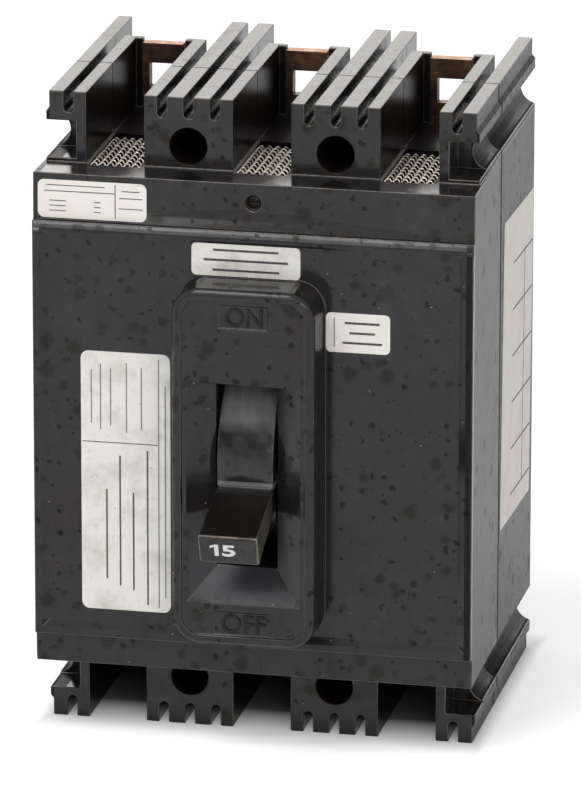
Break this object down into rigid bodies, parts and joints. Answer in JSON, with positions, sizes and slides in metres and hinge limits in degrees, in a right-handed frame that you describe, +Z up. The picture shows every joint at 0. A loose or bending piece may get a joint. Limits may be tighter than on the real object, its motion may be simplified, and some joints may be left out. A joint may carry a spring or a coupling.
{
  "type": "moulded case circuit breaker",
  "caption": "Black moulded-case circuit breaker for three poles, with a toggle handle in a raised boss and ribbed terminal blocks at both ends.",
  "frame": {"origin": "middle of the rear mounting face", "axes": "+X to the right seen from the front, +Y out of the rear face into the panel, +Z up towards the line end"},
  "size_m": [0.1046, 0.1103, 0.1536],
  "materials": {
    "case": "satin black phenolic moulding",
    "handle": "glossy black moulding",
    "crossbar": "dark brown moulding",
    "steel": "zinc-plated steel",
    "screw": "zinc-plated screws",
    "screen": "bright woven wire",
    "copper": "tarnished copper",
    "silver": "silver contact alloy",
    "fibre": "grey vulcanised fibre",
    "bimetal": "rolled bimetal strip",
    "spring": "oiled spring steel"
  },
  "bodies": {
    "case": {"base": "case", "cover": "case", "cover_screws": "screw", "front_screw": "screw", "strap_screws": "screw", "fixed_contacts": "silver", "mechanism_frame": "steel", "frame_screws": "screw", "handle_pivots": "steel", "cradle_pin": "steel", "armature_pins": "steel", "calibration_screws": "screw", "trip_bar_spring": "spring", "vent_screen_left": "screen", "vent_screen_centre": "screen", "vent_screen_right": "screen", "line_terminal_left": "copper", "line_terminal_centre": "copper", "line_terminal_right": "copper", "load_terminal_left": "copper", "load_terminal_centre": "copper", "load_terminal_right": "copper", "arc_chute_left": "fibre", "arc_chute_centre": "fibre", "arc_chute_right": "fibre", "arc_plates_left": "steel", "arc_plates_centre": "steel", "arc_plates_right": "steel", "bimetal_left": "bimetal", "bimetal_centre": "bimetal", "bimetal_right": "bimetal", "magnet_yoke_left": "steel", "magnet_yoke_centre": "steel", "magnet_yoke_right": "steel", "braid_left": "copper", "braid_centre": "copper", "braid_right": "copper"},
    "handle": {"handle": "handle", "handle_yoke": "steel", "spring_pin": "steel"},
    "crossbar": {"crossbar": "crossbar", "arm_pins": "steel", "contact_springs": "spring", "crank_pins": "steel"},
    "contact_arm_left": {"contact_arm_left": "copper", "moving_contact_left": "silver"},
    "contact_arm_centre": {"contact_arm_centre": "copper", "moving_contact_centre": "silver"},
    "contact_arm_right": {"contact_arm_right": "copper", "moving_contact_right": "silver"},
    "cradle": {"cradle": "steel"},
    "upper_link": {"upper_link": "steel", "anchor_pins": "steel", "toggle_pin": "steel"},
    "lower_link": {"lower_link": "steel"},
    "springs": {"operating_springs": "spring"},
    "trip_bar": {"trip_bar": "crossbar"},
    "armature_left": {"armature_left": "steel"},
    "armature_centre": {"armature_centre": "steel"},
    "armature_right": {"armature_right": "steel"}
  },
  "joints": [
    {"name": "handle_swing", "type": "hinge", "parent": "case", "child": "handle", "pos_m": [0, -0.0685, -0.00685], "axis": [-1, 0, 0], "range_deg": [-20, 50]},
    {"name": "crossbar_turn", "type": "hinge", "parent": "case", "child": "crossbar", "pos_m": [0, -0.025, 0], "axis": [-1, 0, 0], "range_deg": [-8, 20]},
    {"name": "arm_left_lift", "type": "hinge", "parent": "crossbar", "child": "contact_arm_left", "pos_m": [0, -0.02782, -0.00103], "axis": [1, 0, 0], "range_deg": [0, 4], "stiffness_Nm_per_rad": 0.5},
    {"name": "arm_centre_lift", "type": "hinge", "parent": "crossbar", "child": "contact_arm_centre", "pos_m": [0, -0.02782, -0.00103], "axis": [1, 0, 0], "range_deg": [0, 4], "stiffness_Nm_per_rad": 0.5},
    {"name": "arm_right_lift", "type": "hinge", "parent": "crossbar", "child": "contact_arm_right", "pos_m": [0, -0.02782, -0.00103], "axis": [1, 0, 0], "range_deg": [0, 4], "stiffness_Nm_per_rad": 0.5},
    {"name": "cradle_trip", "type": "hinge", "parent": "case", "child": "cradle", "pos_m": [0, -0.046, 0.024], "axis": [-1, 0, 0], "range_deg": [0, 18]},
    {"name": "upper_link_turn", "type": "hinge", "parent": "case", "child": "upper_link", "pos_m": [0, -0.0623, -0.00283], "axis": [-1, 0, 0], "range_deg": [-10.3, 4.12]},
    {"name": "lower_link_turn", "type": "hinge", "parent": "crossbar", "child": "lower_link", "pos_m": [0, -0.03169, 0.00882], "axis": [-1, 0, 0], "range_deg": [-7, 2.8]},
    {"name": "spring_swing", "type": "hinge", "parent": "upper_link", "child": "springs", "pos_m": [0, -0.04007, -0.0054], "axis": [-1, 0, 0], "range_deg": [-7.82, 19.55]},
    {"name": "trip_bar_turn", "type": "hinge", "parent": "case", "child": "trip_bar", "pos_m": [0, -0.063, -0.0475], "axis": [-1, 0, 0], "range_deg": [0, 10], "stiffness_Nm_per_rad": 0.05},
    {"name": "armature_left_pull", "type": "hinge", "parent": "case", "child": "armature_left", "pos_m": [0, -0.0262, -0.0382], "axis": [1, 0, 0], "range_deg": [0, 4.5], "stiffness_Nm_per_rad": 0.02},
    {"name": "armature_centre_pull", "type": "hinge", "parent": "case", "child": "armature_centre", "pos_m": [0, -0.0262, -0.0382], "axis": [1, 0, 0], "range_deg": [0, 4.5], "stiffness_Nm_per_rad": 0.02},
    {"name": "armature_right_pull", "type": "hinge", "parent": "case", "child": "armature_right", "pos_m": [0, -0.0262, -0.0382], "axis": [1, 0, 0], "range_deg": [0, 4.5], "stiffness_Nm_per_rad": 0.02}
  ],
  "couplings": [
    {"joint": "crossbar_turn", "follows": "handle_swing", "ratio": 0.4},
    {"joint": "upper_link_turn", "follows": "handle_swing", "ratio": -0.206},
    {"joint": "lower_link_turn", "follows": "handle_swing", "ratio": -0.14},
    {"joint": "spring_swing", "follows": "handle_swing", "ratio": 0.391}
  ]
}
